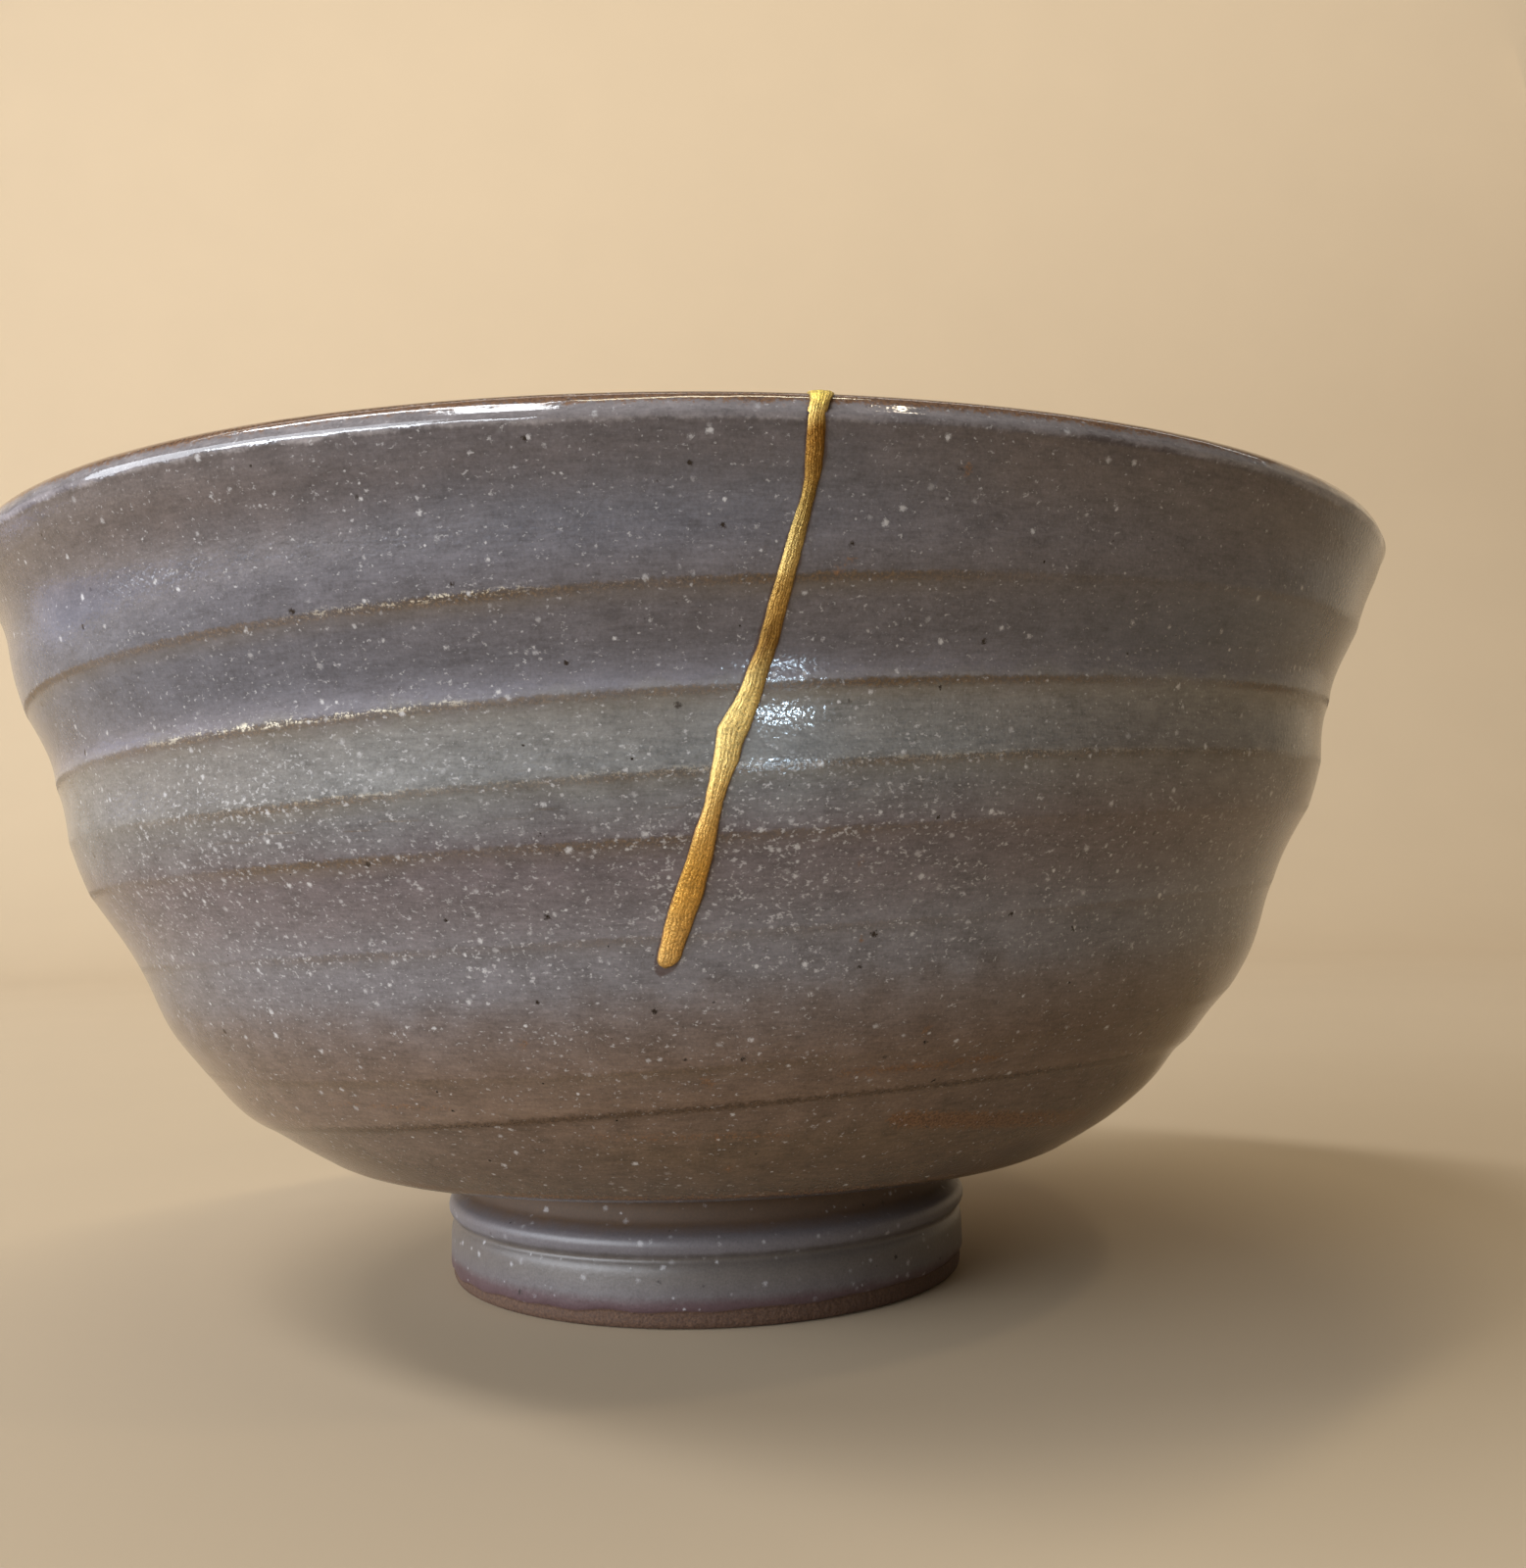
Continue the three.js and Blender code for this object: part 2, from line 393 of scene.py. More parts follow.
def crack_width(z):
    return np.interp(z, CRACK_COURSE[:, 0], CRACK_COURSE[:, 2])


# ---- meshes ----

def new_piece(name, points, faces, material, attributes):
    mesh = bpy.data.meshes.new(name)
    mesh.from_pydata((points * MM).tolist(), [], faces)
    mesh.shade_smooth()
    for key, values in attributes.items():
        mesh.attributes.new(key, "FLOAT", "POINT").data.foreach_set("value", np.ravel(values))
    mesh.materials.append(material)
    piece = bpy.data.objects.new(name, mesh)
    bpy.context.collection.objects.link(piece)
    return piece


def bowl_mesh(wall_material, foot_material):
    under = underside_section()[1:]
    foot = foot_section()
    body = outer_wall(WALL_STEPS)
    inside = inner_wall(INSIDE_STEPS)[:-1]
    section = np.concatenate([under, foot, body, lip_section(LIP_STEPS), inside])
    row = np.arange(len(section))
    foot_rows = len(under) + len(foot)
    is_foot = row < foot_rows
    is_body = ~is_foot & (row < foot_rows + len(body))
    is_inner = row >= len(section) - len(inside)

    azimuth = (np.linspace(0, 360, AROUND, endpoint=False) + 180) % 360 - 180
    theta, radius = np.meshgrid(azimuth, section[:, 0], indexing="ij")
    z = np.broadcast_to(section[:, 1], theta.shape).copy()

    # The glaze ends in a wavy edge on the foot: the rows near it follow the wave.
    edge = GLAZE_EDGE_RISE * np.sin(np.radians(azimuth + 20))
    edge += GLAZE_EDGE_WAVER * waves(azimuth, 0, (7, 30), (0, 1), 6)
    near_edge = np.exp(-(((section[:, 1] - GLAZE_EDGE) / GLAZE_EDGE_REACH) ** 2))
    on_side = is_foot & (section[:, 0] > FOOT_INNER_RADIUS + 2)
    z += edge[:, None] * (near_edge * on_side)

    unevenness = SLOW_UNEVENNESS * waves(theta, z, (2, 6), (-0.12, 0.12), 6)
    unevenness += QUICK_UNEVENNESS * waves(theta, z, (3, 14), (-0.9, 0.9), 8)
    outer = outer_relief(theta, z) + unevenness * smoothstep(z, 14, 20)
    inner = INSIDE_RING * np.cos(2 * np.pi * (z / INSIDE_RING_SPACING + theta / 360))
    radius = radius + np.where(is_body, outer, 0) + np.where(is_inner, inner, 0)
    points = on_pot(radius, theta, z)
    shift = 1 - smoothstep(section[:, 0], FOOT_RADIUS + 1, UNDERSIDE_EDGE[0])
    points[..., 0] += FOOT_OFFSET * np.where(is_foot, shift, 0)
    poles = [(FOOT_OFFSET, 0, RECESS_HEIGHT), (0, 0, FLOOR_HEIGHT)]
    points = np.concatenate([points.reshape(-1, 3), poles])

    looks = wall_looks(theta, z, radius, is_body)
    above_glaze = z - GLAZE_EDGE - edge[:, None]
    in_recess = is_foot & ~on_side
    above_glaze[:, in_recess] = RECESS_GLAZE_RADIUS - radius[:, in_recess]
    looks["above_glaze"] = above_glaze
    looks = {key: np.append(values, [values[0, 0], values[0, -1]]) for key, values in looks.items()}

    piece = new_piece("speckled_bowl", points, turned_faces(len(section)), wall_material, looks)
    piece.data.materials.append(foot_material)
    is_foot_face = np.tile(row[:-1] < foot_rows - 1, AROUND).tolist() + [True, False] * AROUND
    piece.data.polygons.foreach_set("material_index", is_foot_face)
    return piece


def turned_faces(rows):
    """Quads between neighbouring columns of rows, and triangles that close both ends at a pole."""
    starts = np.arange(AROUND) * rows
    at = starts[:, None] + np.arange(rows - 1)
    after = np.roll(starts, -1)[:, None] + np.arange(rows - 1)
    faces = np.stack([at, after, after + 1, at + 1], axis=-1).reshape(-1, 4).tolist()
    under_pole, floor_pole = AROUND * rows, AROUND * rows + 1
    for start, end in zip(starts.tolist(), np.roll(starts, -1).tolist()):
        faces.append((under_pole, end, start))
        faces.append((floor_pole, start + rows - 1, end + rows - 1))
    return faces


def wall_looks(theta, z, radius, is_body):
    """What the glaze does at each point, as numbers for the material to read."""
    outer = np.broadcast_to(is_body, z.shape)
    above, shown, painted_glint = line_looks(theta, z, outer)
    rust = rust_looks(theta, z, radius, outer)

    # The patches fade towards the axis, where they would crowd into a star.
    off_axis = smoothstep(radius, 6, 34)
    clouds = off_axis * waves(theta, z, (0, 7), (-0.35, 0.35), 10)
    blots = off_axis * waves(theta, z, (0, 90), (-2.2, 2.2), 60)
    streaks = off_axis * waves(theta, z, (0, 4), (-3.2, 3.2), 12)
    knots = off_axis * waves(theta, z, (3, 18), (-0.5, 0.5), 8)
    trim = above_trim(theta, z)
    below_trim = outer * (1 - smoothstep(trim, -0.4, 0.1))
    # The glaze's brightness: random patches, a painted highlight over the main ridge and painted shade in the
    # dip above it on the left front, and the paler roll above the turned edge.
    tone_and_painted_light = 1 + 0.075 * blots + 0.025 * streaks + painted_light_and_pale_roll(theta, z) * outer
    return {
        "rise": z,
        "band": z + off_axis * (above_line(theta, z, 0) - z) + 0.3 * blots,
        "tone_and_painted_light": tone_and_painted_light * GLAZE_GAIN,
        "thin": np.clip(-clouds / 3, 0, 0.4) + 0.3 * below_trim,
        "above_line": above,
        "line_shown": shown,
        "painted_glint": painted_glint,
        "above_trim": np.where(outer, trim, 9),
        "above_lip": z - LIP_BAND + 0.1 * blots + 0.12 * clouds,
        "rust": rust,
        "crowd": crowding(theta, z) * np.clip(0.95 + 0.2 * knots, 0.4, 1.4),
        "from_seam": distance_from_seam(theta, z, radius),
    }


def line_looks(theta, z, outer):
    """Height above the nearest line of the spiral, how much of it shows, and how strong its painted glints
    are: cream specks that stand for a highlight along the ridge, in front and most on the left.
    """
    patchy = np.clip(0.85 + 0.4 * waves(theta, z, (4, 26), (-0.3, 0.3), 9), 0.15, 1.25)
    upper = smoothstep(z, 39.5, 43)
    left = near_front(theta, -38, 32, 40)
    middle = near_front(theta, 5, 38, 25)
    main = (
        above_ledge(theta, z, MAIN_LEDGE),
        0.3 + 0.7 * upper,
        upper * near_front(theta, -27, 7, 9),
    )
    second = (
        above_ledge(theta, z, SECOND_LEDGE),
        (0.3 + 0.8 * left) * (0.7 + 0.3 * upper),
        0.6 * upper * near_front(theta, -17, 4, 6),
    )
    faint = (above_line(theta, z, FAINT_LEDGE), 0.2 + 0.5 * middle, 0.15 * middle)
    above, shown, painted_glint = (np.stack(values) for values in zip(main, second, faint))
    nearest = np.argmin(np.abs(above), axis=0)[None]
    above, shown, painted_glint = (
        np.take_along_axis(values, nearest, axis=0)[0] for values in (above, shown, painted_glint)
    )
    on_line = patchy * in_spiral(z) * outer * (np.abs(above) < LINE_REACH)
    return above, shown * on_line, painted_glint * on_line


def rust_looks(theta, z, radius, outer):
    """Depth inside the nearest rusty mark, below 0 outside it."""
    scars = [
        half - np.abs(z - height - slope * (theta - middle)) - 3 * (1 - near_front(theta, middle, length, 5))
        for middle, length, height, slope, half in SCARS
    ]
    spots = [
        size - np.hypot(np.radians(theta - middle) * radius, z - height)
        for middle, height, size in RUST_SPOTS
    ]
    corner = 0.3 - np.abs(z - UNDERSIDE_EDGE[1] - 0.1)
    top = z - RUST_TOP + 0.06 * waves(theta, z, (20, 90), (0, 1), 8)
    return np.maximum(np.where(outer, np.max([corner, *scars, *spots], axis=0), -3), top)


def painted_light_and_pale_roll(theta, z):
    """Painted light on the ridges: a painted highlight over the main ridge, strongest on the left front, and
    painted shade in the soft dip above it on the left front; and paler glaze on the roll above the turned
    edge.
    """
    left = near_front(theta, -38, 32, 40)
    # The painted highlight over the main ridge is strongest on the left front, where the light comes from.
    strength = 0.3 + 0.9 * left * smoothstep(z, 39.5, 43)
    painted_ridge_sheen = crest(above_ledge(theta, z, MAIN_LEDGE) - 0.3, 1.1, 0.2) * in_spiral(z) * strength
    roll = crest(above_trim(theta, z) - 0.6, 0.4, 0.3)
    # Painted shade in the soft dip above the main ridge, on the left front.
    painted_dip_shade = crest(above_line(theta, z, SOFT_LEDGE), 1, 1) * left
    return 0.52 * painted_ridge_sheen + 0.16 * roll - 0.1 * painted_dip_shade


def crowding(theta, z):
    """How thick the white specks are: most in the middle of the wall, fewer above and below."""
    lower = 0.4 + 0.2 * smoothstep(z, 20, 26) + 0.5 * smoothstep(z, 28, 31)
    upper = 0.4 + 0.6 * (1 - smoothstep(z, 38, 53))
    return lower * upper * (0.8 + 0.3 * near_front(theta, -15, 15, 25))


def distance_from_seam(theta, z, radius):
    """Distance from the edge of the lacquer line, below 0 under it."""
    along = np.radians(theta - crack_azimuth(z)) * radius
    half = crack_width(z) / 2
    past_tip = np.maximum(CRACK_COURSE[0, 0] + half - z, 0)
    return np.clip(np.hypot(along, past_tip) - half, -1, 9)


def seam_mesh(material):
    """The lacquer line: a closed strip with a crowned top, bent over the wall and the lip."""
    limit = HEIGHT - LIP_RADIUS - 0.6
    outside = outer_wall(SEAM_GUIDE_STEPS)
    inside = inner_wall(SEAM_GUIDE_STEPS)
    outside = outside[(outside[:, 1] > CRACK_COURSE[0, 0]) & (outside[:, 1] < limit)]
    inside = inside[(inside[:, 1] > CRACK_END_INSIDE) & (inside[:, 1] < limit)]
    path = respaced(np.concatenate([outside, lip_section(SEAM_LIP_STEPS), inside]), SEAM_STEPS)
    tangent = np.gradient(path, axis=0)
    tangent /= np.linalg.norm(tangent, axis=1)[:, None]
    run = np.concatenate([[0], np.cumsum(np.linalg.norm(np.diff(path, axis=0), axis=1))])
    height = path[:, 1]
    azimuth = crack_azimuth(height)
    width = crack_width(height)
    from_end = np.minimum(run, run[-1] - run)
    taper = np.sqrt(np.clip(1 - (1 - np.clip(from_end / SEAM_END, 0, 1)) ** 2, 0.02, 1))
    edges = [ragged(run) for _ in range(2)]

    top = np.linspace(-1, 1, SEAM_ACROSS)
    across = np.concatenate([top, top[::-1][1:-1:4]])
    is_top = np.arange(len(across)) < len(top)
    station, place = np.meshgrid(np.arange(len(path)), across, indexing="ij")
    half = np.where(place < 0, edges[0][station], edges[1][station]) + (width / 2)[station]
    side = place * half * taper[station]
    proud = SEAM_PROUD * (1 - 0.4 * smoothstep(height, HEIGHT - LIP_RADIUS, HEIGHT - 0.8))[station]
    crown = proud * (1 - 0.75 * np.abs(place) ** 3) * (0.15 + 0.85 * taper[station])
    strokes = 0.012 * np.cos(place * 9 + 1.3 * np.sin(run[station] * 0.4))
    lift = np.where(is_top, crown + strokes, -SEAM_DEPTH)
    relief = np.where(tangent[:, 1] > 0, outer_relief(azimuth, height), 0)[station]
    radius = path[station, 0] + relief + lift * tangent[station, 1]
    z = height[station] - lift * tangent[station, 0]
    turn = azimuth[station] + np.degrees(side / path[station, 0])
    points = on_pot(radius, turn, z)

    loop = len(across)
    at = np.arange(len(path) - 1)[:, None] * loop + np.arange(loop)
    beside = np.arange(len(path) - 1)[:, None] * loop + (np.arange(loop) + 1) % loop
    faces = np.stack([at, beside, beside + loop, at + loop], axis=-1).reshape(-1, 4).tolist()
    last = (len(path) - 1) * loop
    faces.append(list(range(loop - 1, -1, -1)))
    faces.append(list(range(last, last + loop)))
    attributes = {"across": place, "along": run[station], "rise": z}
    return new_piece("gold_line", points.reshape(-1, 3), faces, material, attributes)


def ragged(run):
    """How far a hand-drawn edge strays from its line."""
    stray = 0
    for length, size in ((7, 0.05), (2.6, 0.045), (0.9, 0.035), (0.45, 0.02)):
        knots = np.arange(0, run[-1] + 2 * length, length)
        stray = stray + size * np.interp(run, knots, random.uniform(-1, 1, len(knots)))
    return stray


# ---- node graphs written as sums ----

class Wire:
    """A socket that can be added, multiplied and so on with numbers and other wires."""

    def __init__(self, tree, socket):
        self.tree, self.socket = tree, socket

    def math(self, operation, *others):
        node = self.tree.nodes.new("ShaderNodeMath")
        node.operation = operation
        for slot, value in zip(node.inputs, (self, *others)):
            plug(self.tree, value, slot)
        return Wire(self.tree, node.outputs[0])

    def __add__(self, other):
        return self.math("ADD", other)

    def __sub__(self, other):
        return self.math("SUBTRACT", other)

    def __mul__(self, other):
        return self.math("MULTIPLY", other)

    def __truediv__(self, other):
        return self.math("DIVIDE", other)

    def __neg__(self):
        return self.math("MULTIPLY", -1.0)

    def __abs__(self):
        return self.math("ABSOLUTE")

    __radd__, __rmul__ = __add__, __mul__

    def __rsub__(self, other):
        return -self + other

    def step(self, low, high):
        """0 below low, 1 above high, smooth between; falling where high is the lower."""
        node = self.tree.nodes.new("ShaderNodeMapRange")
        node.interpolation_type = "SMOOTHSTEP"
        flipped = low > high
        low, high = sorted((low, high))
        for name, value in (("Value", self), ("From Min", low), ("From Max", high)):
            plug(self.tree, value, node.inputs[name])
        node.inputs["To Min"].default_value = float(flipped)
        node.inputs["To Max"].default_value = float(not flipped)
        return Wire(self.tree, node.outputs[0])

    def bell(self, width):
        """1 where the wire is 0, falling to 0 at width to either side."""
        return abs(self).step(width, 0)


def plug(tree, value, slot):
    if isinstance(value, Wire):
        tree.links.new(value.socket, slot)
    elif slot.type == "RGBA":
        slot.default_value = (*value, 1)
    else:
        slot.default_value = value


def srgb(red, green, blue):
    """A colour on the 0 to 255 scale of a picture, as the shader's linear light."""
    parts = (channel / 255 for channel in (red, green, blue))
    return tuple(c / 12.92 if c <= 0.04045 else ((c + 0.055) / 1.055) ** 2.4 for c in parts)


class Paint:
    """A material under construction."""

    def __init__(self, name):
        self.material = bpy.data.materials.new(name)
        self.material.use_nodes = True
        self.tree = self.material.node_tree
        self.shader = self.tree.nodes["Principled BSDF"]
        place = self.tree.nodes.new("ShaderNodeTexCoord")
        scale = self.tree.nodes.new("ShaderNodeVectorMath")
        scale.operation = "SCALE"
        scale.inputs["Scale"].default_value = 1 / MM
        self.tree.links.new(place.outputs["Object"], scale.inputs[0])
        self.place = scale.outputs[0]

    def attribute(self, name):
        node = self.tree.nodes.new("ShaderNodeAttribute")
        node.attribute_name = name
        return Wire(self.tree, node.outputs["Fac"])

    def stretched(self, across):
        """The place in millimetres, squeezed sideways so that a texture grows longer that way."""
        node = self.tree.nodes.new("ShaderNodeVectorMath")
        node.operation = "MULTIPLY"
        node.inputs[1].default_value = (1 / across, 1 / across, 1)
        self.tree.links.new(self.place, node.inputs[0])
        return node.outputs[0]

    def noise(self, size, detail=2.0, rough=0.5, across=1.0):
        """Soft noise about 0, with lumps of a size in millimetres."""
        node = self.tree.nodes.new("ShaderNodeTexNoise")
        node.inputs["Scale"].default_value = 1 / size
        node.inputs["Detail"].default_value = detail
        node.inputs["Roughness"].default_value = rough
        self.tree.links.new(self.stretched(across), node.inputs["Vector"])
        return Wire(self.tree, node.outputs["Fac"]) - 0.5

    def dots(self, spacing, share, small, large, fray):
        """Soft ragged spots scattered in depth, as two wires: common white ones, rare dark ones.

        The share of places that hold a white one may be a wire. A spot's radius in millimetres
        is from small to large.
        """
        node = self.tree.nodes.new("ShaderNodeTexVoronoi")
        node.inputs["Scale"].default_value = 1 / spacing
        self.tree.links.new(self.place, node.inputs["Vector"])
        split = self.tree.nodes.new("ShaderNodeSeparateColor")
        self.tree.links.new(node.outputs["Color"], split.inputs[0])
        chance, size, strength = (Wire(self.tree, socket) for socket in split.outputs)
        radius = (small + size * size * (large - small)) / spacing
        spot = (Wire(self.tree, node.outputs["Distance"]) / radius + fray).step(1, 0.2)
        spot = spot * (0.3 + strength * 0.7)
        return spot * (share - chance).step(0, 0.05), spot * (chance - 0.95).step(0, 0.01)

    def mix(self, amount, first, second):
        node = self.tree.nodes.new("ShaderNodeMix")
        node.data_type = "RGBA"
        plug(self.tree, amount, node.inputs[0])
        plug(self.tree, first, node.inputs[6])
        plug(self.tree, second, node.inputs[7])
        return Wire(self.tree, node.outputs[2])

    def scaled(self, colour, amount):
        node = self.tree.nodes.new("ShaderNodeVectorMath")
        node.operation = "SCALE"
        plug(self.tree, colour, node.inputs[0])
        plug(self.tree, amount, node.inputs["Scale"])
        return Wire(self.tree, node.outputs[0])

    def ramp(self, wire, stops):
        """A colour that follows a wire, through (value, colour) stops."""
        low, high = stops[0][0], stops[-1][0]
        node = self.tree.nodes.new("ShaderNodeValToRGB")
        elements = node.color_ramp.elements
        for index, (value, colour) in enumerate(stops):
            spot = (value - low) / (high - low)
            element = elements[index] if index < 2 else elements.new(spot)
            element.position = spot
            element.color = (*colour, 1)
        plug(self.tree, (wire - low) / (high - low), node.inputs[0])
        return Wire(self.tree, node.outputs[0])

    def bump(self, height):
        """A bump from a height in millimetres."""
        node = self.tree.nodes.new("ShaderNodeBump")
        node.inputs["Distance"].default_value = MM
        plug(self.tree, height, node.inputs["Height"])
        self.tree.links.new(node.outputs[0], self.shader.inputs["Normal"])

    def set(self, **inputs):
        for name, value in inputs.items():
            plug(self.tree, value, self.shader.inputs[name.replace("_", " ")])


# ---- glaze ----

# The glaze's colour by height in front, where each line of the spiral starts a band.
BANDS = [
    (11.0, (88, 67, 48)),
    (14.0, (107, 85, 64)),
    (17.0, (114, 93, 71)),
    (19.5, (119, 98, 82)),
    (24.0, (117, 99, 88)),
    (27.5, (115, 104, 101)),
    (29.5, (118, 114, 117)),
    (32.0, (118, 115, 119)),
    (35.0, (114, 107, 110)),
    (38.2, (110, 101, 105)),
    (39.5, (114, 110, 113)),
    (42.0, (118, 118, 118)),
    (43.5, (129, 129, 128)),
    (46.6, (129, 127, 124)),
    (48.2, (103, 102, 110)),
    (50.0, (97, 98, 107)),
    (53.2, (101, 102, 111)),
    (55.5, (109, 110, 120)),
    (58.0, (104, 103, 110)),
    (61.0, (98, 92, 94)),
]
GLAZE_GAIN = 0.8


def wall_material():
    paint = Paint("speckled_glaze")
    fray = paint.noise(0.45, 2, 0.6) * 0.6
    grain = paint.noise(0.2, 2, 0.75)
    hairs = paint.noise(0.3, 2, 0.75, across=5)
    mottle = paint.noise(1.1, 3, 0.6, across=1.6)
    skin = paint.noise(0.36, 1, 0.6)

    colour = paint.ramp(paint.attribute("band") + fray * 1.6, [
        (height, srgb(*shade)) for height, shade in BANDS
    ])
    colour = paint.mix(paint.attribute("thin"), colour, srgb(110, 94, 84))
    lip = (paint.attribute("above_lip") + fray * 0.8).step(-0.15, 0.2)
    colour = paint.mix(lip, colour, srgb(140, 133, 133))
    unevenness = grain * 0.5 + fray * 0.5 + hairs * 0.65 + mottle * 0.38
    # The brightness attribute carries the painted ridge highlight and the painted dip shade.
    colour = paint.scaled(colour, paint.attribute("tone_and_painted_light") + unevenness)

    # Where the glaze runs thin on a ridge, the ochre body shows, with dark pits. The cream glints along a
    # ridge's top are a painted highlight, in front and most on the left.
    above = paint.attribute("above_line") + fray * 0.9
    shown = paint.attribute("line_shown")
    under = above.step(0.2, -0.05) * above.step(-1.6, -0.2) * shown
    colour = paint.mix(under * 0.35, colour, srgb(106, 92, 70))
    ridge = above.step(0.25, 0.0) * above.step(-0.6, -0.15) * shown
    earth = paint.mix(grain.step(-0.16, 0.2), srgb(46, 34, 26), srgb(108, 86, 62))
    colour = paint.mix(ridge * (0.65 + grain * 1.5), colour, earth)
    painted_glint = (above - 0.08).bell(0.32) * paint.attribute("painted_glint") * (grain + hairs).step(0.0, 0.2)

    # The turned edge is a jagged dark line, and rust gathers in other places.
    edge = (paint.attribute("above_trim") + fray * 1.2).bell(0.4)
    scored = paint.mix(grain.step(-0.15, 0.25), srgb(46, 32, 23), srgb(98, 74, 50))
    colour = paint.mix(edge * 0.75, colour, scored)
    rust = (paint.attribute("rust") + fray * 1.5 + grain * 0.8).step(-0.1, 0.35)
    iron = paint.mix(grain.step(-0.3, 0.2), srgb(60, 41, 29), srgb(126, 92, 64))
    colour = paint.mix(rust * 0.9, colour, iron)

    # White crumbs and specks, crowded in the middle of the wall, and sparse dark iron ones.
    crowd = paint.attribute("crowd")
    crumbs = paint.noise(0.3, 2, 0.65, across=1.4) + crowd * 0.075
    crumbs = crumbs.step(0.15, 0.3) * 0.5
    whites, darks = paint.dots(0.95, crowd * 0.9, 0.09, 0.34, grain * 1.8)
    whites = crumbs.math("MAXIMUM", whites * 0.85)
    colour = paint.mix(whites, colour, srgb(198, 196, 196))
    # Painted highlight: cream glints along the ridge tops, in front and most on the left.
    colour = paint.mix(painted_glint, colour, srgb(240, 232, 210))
    colour = paint.mix(darks * 1.8, colour, srgb(30, 22, 20))

    # A dark reddish line of lacquer along the seam's edges.
    stain = (paint.attribute("from_seam") + fray * 0.3).step(0.17, 0.0)
    colour = paint.mix(stain * 0.55, colour, srgb(58, 30, 18))

    paint.set(Base_Color=colour, Roughness=0.14 + grain * 0.1 + ridge * 0.2 - lip * 0.07, IOR=1.5)
    paint.bump(skin * (1.3 - lip) * 0.022 + paint.noise(1.5, 1, 0.5, across=2) * lip * 0.06)
    return paint.material


# The foot's colour by height: a mauve fringe, a grey-green side, a groove and a lilac bead.
FOOT_BANDS = [
    (1.0, (90, 66, 70)),
    (2.1, (94, 74, 76)),
    (2.8, (108, 101, 101)),
    (4.0, (108, 101, 97)),
    (5.0, (100, 92, 87)),
    (GROOVE_HEIGHT, (98, 90, 84)),
    (6.2, (118, 113, 116)),
    (7.4, (108, 102, 104)),
    (8.2, (94, 74, 58)),
    (12.6, (92, 71, 52)),
]


def foot_material():
    paint = Paint("foot_glaze_and_clay")
    fray = paint.noise(0.4, 2, 0.6) * 0.6
    grain = paint.noise(0.2, 2, 0.75)
    skin = paint.noise(0.5, 1, 0.6)
    blots = paint.noise(1.6, 2, 0.5)
    colour = paint.ramp(paint.attribute("rise") + fray * 0.5 + blots * 0.5, [
        (height, srgb(*shade)) for height, shade in FOOT_BANDS
    ])
    colour = paint.scaled(colour, GLAZE_GAIN + grain * 0.6 + blots * 0.25)
    whites, darks = paint.dots(0.9, 0.6, 0.14, 0.38, grain * 1.8)
    colour = paint.mix(whites * 0.6, colour, srgb(190, 188, 190))
    colour = paint.mix(darks * 1.8, colour, srgb(30, 22, 20))
    clay = (paint.attribute("above_glaze") + fray * 0.4).step(0.1, -0.08)
    earth = paint.mix(grain.step(-0.25, 0.25), srgb(66, 46, 35), srgb(96, 70, 52))
    colour = paint.mix(clay, colour, earth)
    neck = paint.attribute("rise").step(SHOULDER_HEIGHT, SHOULDER_HEIGHT + 1)
    dull = (clay * 0.4).math("MAXIMUM", neck * 0.3)
    paint.set(Base_Color=colour, Roughness=0.42 + grain * 0.15 + dull, IOR=1.5)
    paint.bump(skin * 0.02 + skin * clay * 0.07)
    return paint.material


# The gold's colour by height, from amber at the lower end to bright on the lip; its alternating bright and
# dark stretches, bright near 46.7 mm and dark near 49.3 mm, are mostly painted reflections.
GOLD_TONES_AND_REFLECTIONS = [
    (30.0, (212, 172, 104)),
    (36.0, (214, 164, 78)),
    (40.0, (208, 170, 100)),
    (43.0, (216, 186, 116)),
    (46.7, (222, 194, 122)),
    (49.3, (148, 112, 54)),
    (52.0, (178, 140, 74)),
    (55.0, (196, 168, 102)),
    (57.5, (150, 122, 64)),
    (61.5, (140, 98, 38)),
    (62.8, (222, 188, 110)),
    (64.0, (252, 226, 120)),
]


def gold_material():
    paint = Paint("gold_dusted_lacquer")
    across = paint.attribute("across")
    along = paint.attribute("along")
    powder = paint.noise(0.18, 3, 0.8)
    clouds = paint.noise(1.8, 2, 0.5)
    # The colour by height holds painted reflections as bright and dark stretches along the gold.
    colour = paint.ramp(paint.attribute("rise") + clouds * 3, [
        (height, srgb(*tone_and_painted_light)) for height, tone_and_painted_light in GOLD_TONES_AND_REFLECTIONS
    ])
    strokes = (across * 22 + paint.noise(1.1, 2, 0.5) * 16 + along * 1.1).math("SINE")
    colour = paint.scaled(colour, 1 + powder * 2.4 + clouds * 0.6 + strokes * 0.07)
    colour = paint.mix(powder.step(0.12, 0.3) * 0.5, colour, srgb(250, 226, 160))
    # A thin dark brown line painted along the gold, left of its middle, near 50 mm high; the mesh has no
    # groove there.
    dark_line = (across + 0.3 + clouds * 0.3).bell(0.18) * (paint.attribute("rise") - 50).bell(1.9)
    colour = paint.mix(dark_line * 0.65, colour, srgb(92, 58, 24))
    bare = (abs(across) + powder * 0.8 + clouds * 0.2).step(0.88, 1.04)
    colour = paint.mix(bare * 0.8, colour, srgb(96, 52, 24))
    roughness = 0.44 + powder * 0.4 + bare * 0.2
    paint.set(Base_Color=colour, Roughness=roughness, Metallic=0.85 - bare * 0.7)
    paint.bump(powder * 0.08 + strokes * 0.006 + clouds * 0.06)
    return paint.material


# ---- stage ----

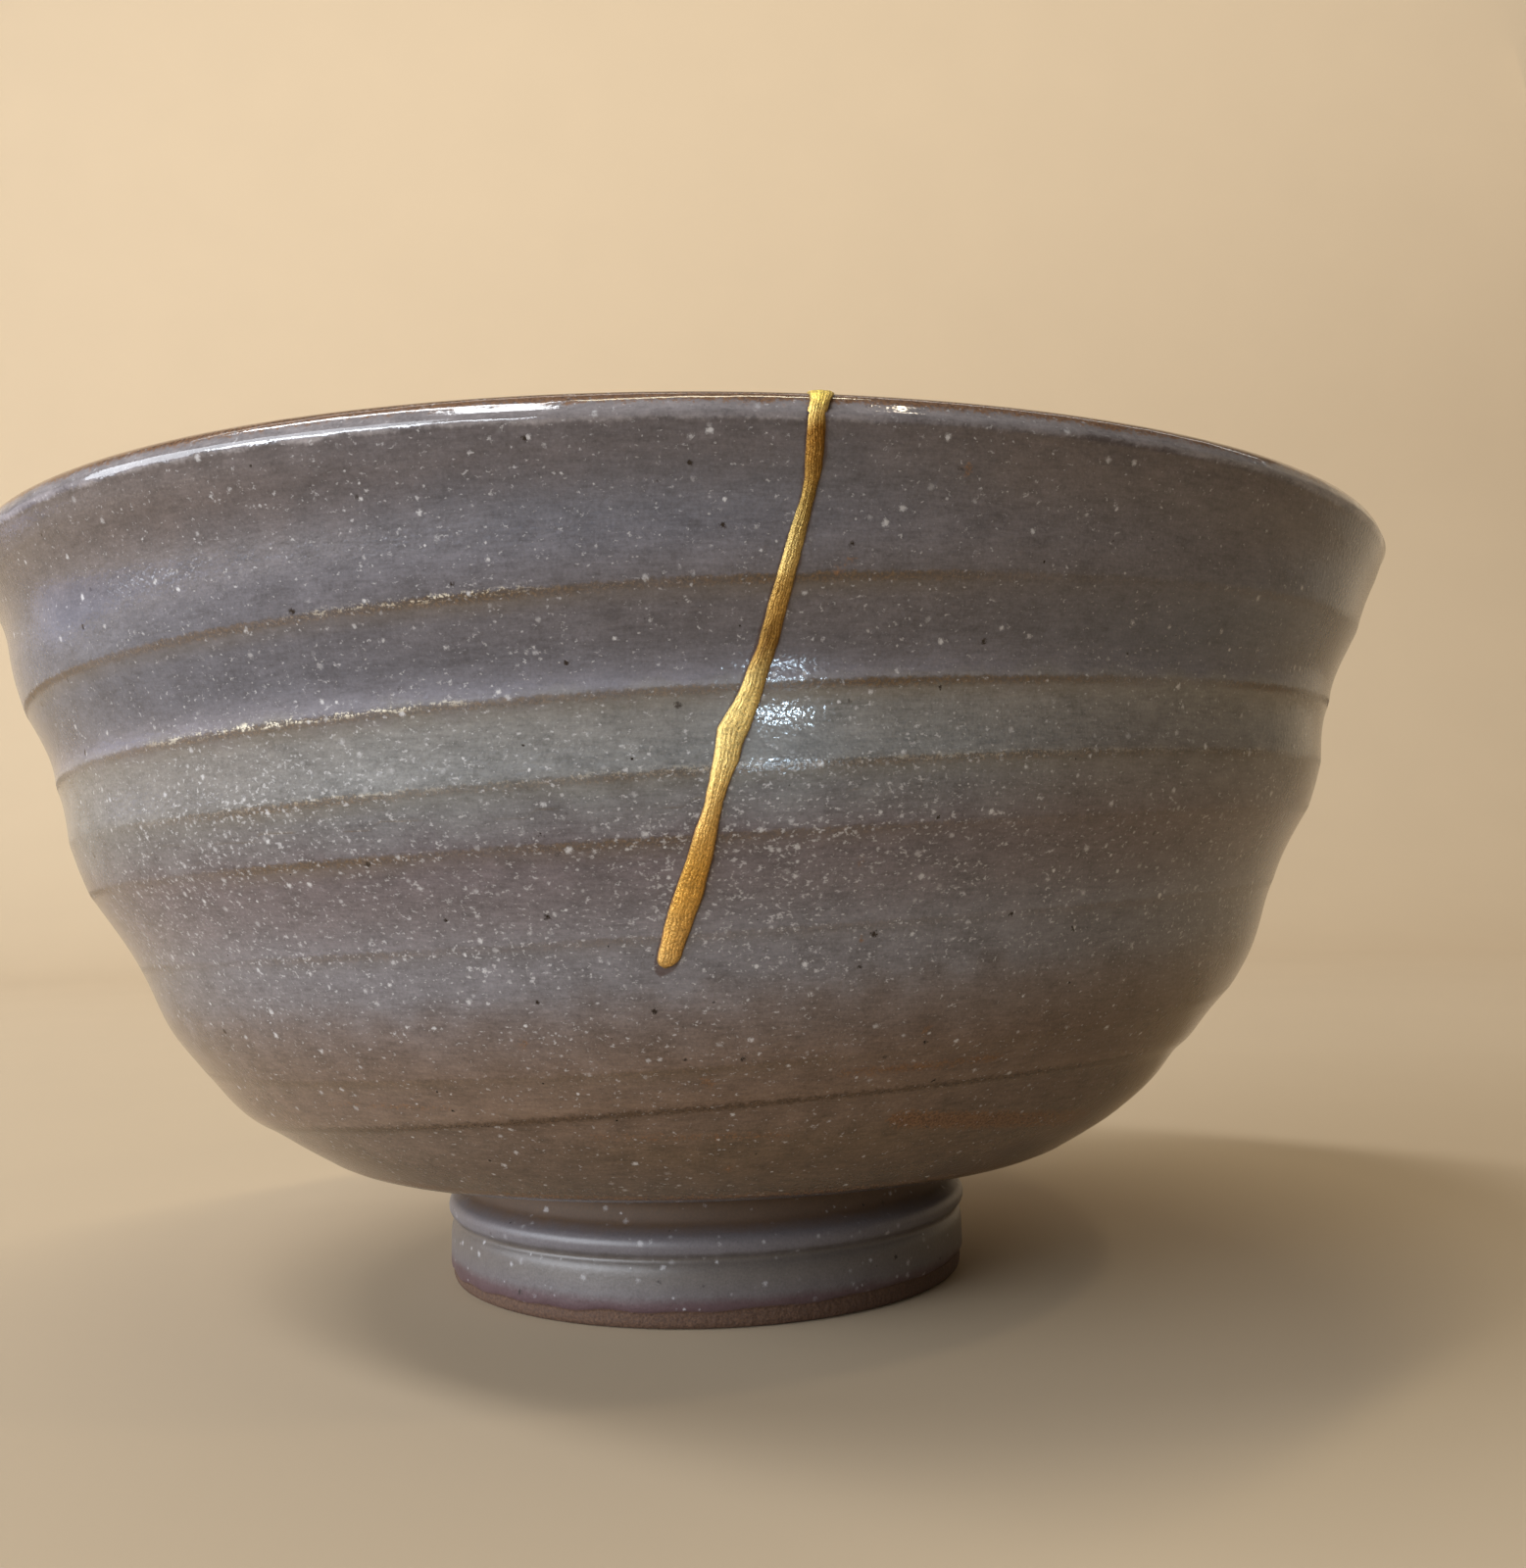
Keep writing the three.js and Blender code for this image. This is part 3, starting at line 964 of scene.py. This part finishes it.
def sweep():
    """A pale floor that curves up into a backdrop."""
    paint = Paint("pale_linen_card")
    shade = paint.noise(60, 2, 0.5) * 0.05 + 1
    paint.set(Base_Color=paint.scaled(srgb(190, 170, 142), shade), Roughness=0.9)
    bend, front, back, top = 0.35, -0.75, 0.55, 1.1
    turn = np.linspace(0, np.pi / 2, 25)
    curve = zip(back + bend * np.sin(turn), bend - bend * np.cos(turn))
    profile = [(front, 0), *curve, (back + bend, top)]
    half = 1.6
    points = np.array([(x, y, z) for y, z in profile for x in (-half, half)]) / MM
    faces = [(2 * i, 2 * i + 1, 2 * i + 3, 2 * i + 2) for i in range(len(profile) - 1)]
    return new_piece("sweep", points, faces, paint.material, {})


def light(name, place, aim, size, power, colour, spread=180):
    """A soft rectangle of light, in metres and watts, that fans out over a spread in degrees."""
    data = bpy.data.lights.new(name, "AREA")
    data.shape = "RECTANGLE"
    data.size, data.size_y = size
    data.energy = power
    data.color = colour
    data.spread = math.radians(spread)
    lamp = bpy.data.objects.new(name, data)
    lamp.location = place
    lamp.rotation_euler = (Vector(place) - Vector(aim)).to_track_quat("Z", "Y").to_euler()
    bpy.context.collection.objects.link(lamp)


def around_bowl(azimuth, elevation, distance):
    """A place seen from the middle of the bowl."""
    turn, climb = math.radians(azimuth), math.radians(elevation)
    x = math.sin(turn) * math.cos(climb)
    y = -math.cos(turn) * math.cos(climb)
    return BOWL_MIDDLE + Vector((x, y, math.sin(climb))) * distance


def camera():
    yaw, pitch, roll = map(math.radians, (CAMERA_YAW, CAMERA_PITCH, CAMERA_ROLL))
    level = Vector((math.cos(yaw), -math.sin(yaw), 0))
    ahead = Vector((math.sin(yaw) * math.cos(pitch), math.cos(yaw) * math.cos(pitch), math.sin(pitch)))
    upright = level.cross(ahead)
    right = level * math.cos(roll) - upright * math.sin(roll)
    up = level * math.sin(roll) + upright * math.cos(roll)
    data = bpy.data.cameras.new("camera")
    data.sensor_fit = "VERTICAL"
    data.sensor_height = SENSOR_HEIGHT
    data.lens = FOCAL_LENGTH
    data.clip_start = 0.005
    viewer = bpy.data.objects.new("camera", data)
    place = Vector(CAMERA_PLACE) * MM
    viewer.matrix_world = Matrix.Translation(place) @ Matrix((right, up, -ahead)).transposed().to_4x4()
    bpy.context.collection.objects.link(viewer)
    bpy.context.scene.camera = viewer


def world(colour, strength):
    sky = bpy.data.worlds.new("studio")
    sky.use_nodes = True
    sky.node_tree.nodes["Background"].inputs["Color"].default_value = (*colour, 1)
    sky.node_tree.nodes["Background"].inputs["Strength"].default_value = strength
    bpy.context.scene.world = sky


camera()
world((1.0, 0.9, 0.76), 0.06)
light("window_low", around_bowl(-46, 8, 1.3), BOWL_MIDDLE, (1.15, 0.12), 9, (0.88, 0.94, 1.0))
light("window_high", (-0.6, -0.1, 1.11), (-0.19, 0.33, 0.035), (0.82, 0.14), 6.5, (0.95, 0.97, 1.0))
light("key", around_bowl(-66, 17, 1.2), BOWL_MIDDLE, (1.3, 0.6), 16.5, (0.86, 0.92, 1.0))
light("left_glow", (-0.95, -0.3, 0.125), BOWL_MIDDLE, (2.6, 0.25), 1.5, (0.9, 0.84, 1.0))
light("right_glow", around_bowl(112, 12, 1.0), BOWL_MIDDLE, (1.4, 0.8), 1.0, (1.0, 0.8, 0.56))
light("ceiling_lamp", (0.02, -0.02, 1.28), BOWL_MIDDLE, (0.75, 0.08), 2.8, (1.0, 0.9, 0.66))
light("floor_lamp", (0.36, -0.32, 0.85), (0.16, -0.12, 0), (0.05, 0.05), 0.05, (1.0, 0.86, 0.64), 50)
light("glint", (0.029, -0.161, 0.013), (0.005, -0.057, 0.0443), (0.006, 0.007), 0.00004, (0.62, 0.82, 1.0), 6)
light("backdrop_lamp", (0.1, 0.4, 0.8), (0, 0.95, 0.3), (1.6, 0.3), 3.6, (1.0, 0.97, 0.92))
bpy.context.scene.view_settings.view_transform = "Standard"

floor = sweep()

bowl = bowl_mesh(wall_material(), foot_material())
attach(bowl, "root")
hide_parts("bowl")

seam = seam_mesh(gold_material())
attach(seam, "root")
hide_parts("gold_seam")
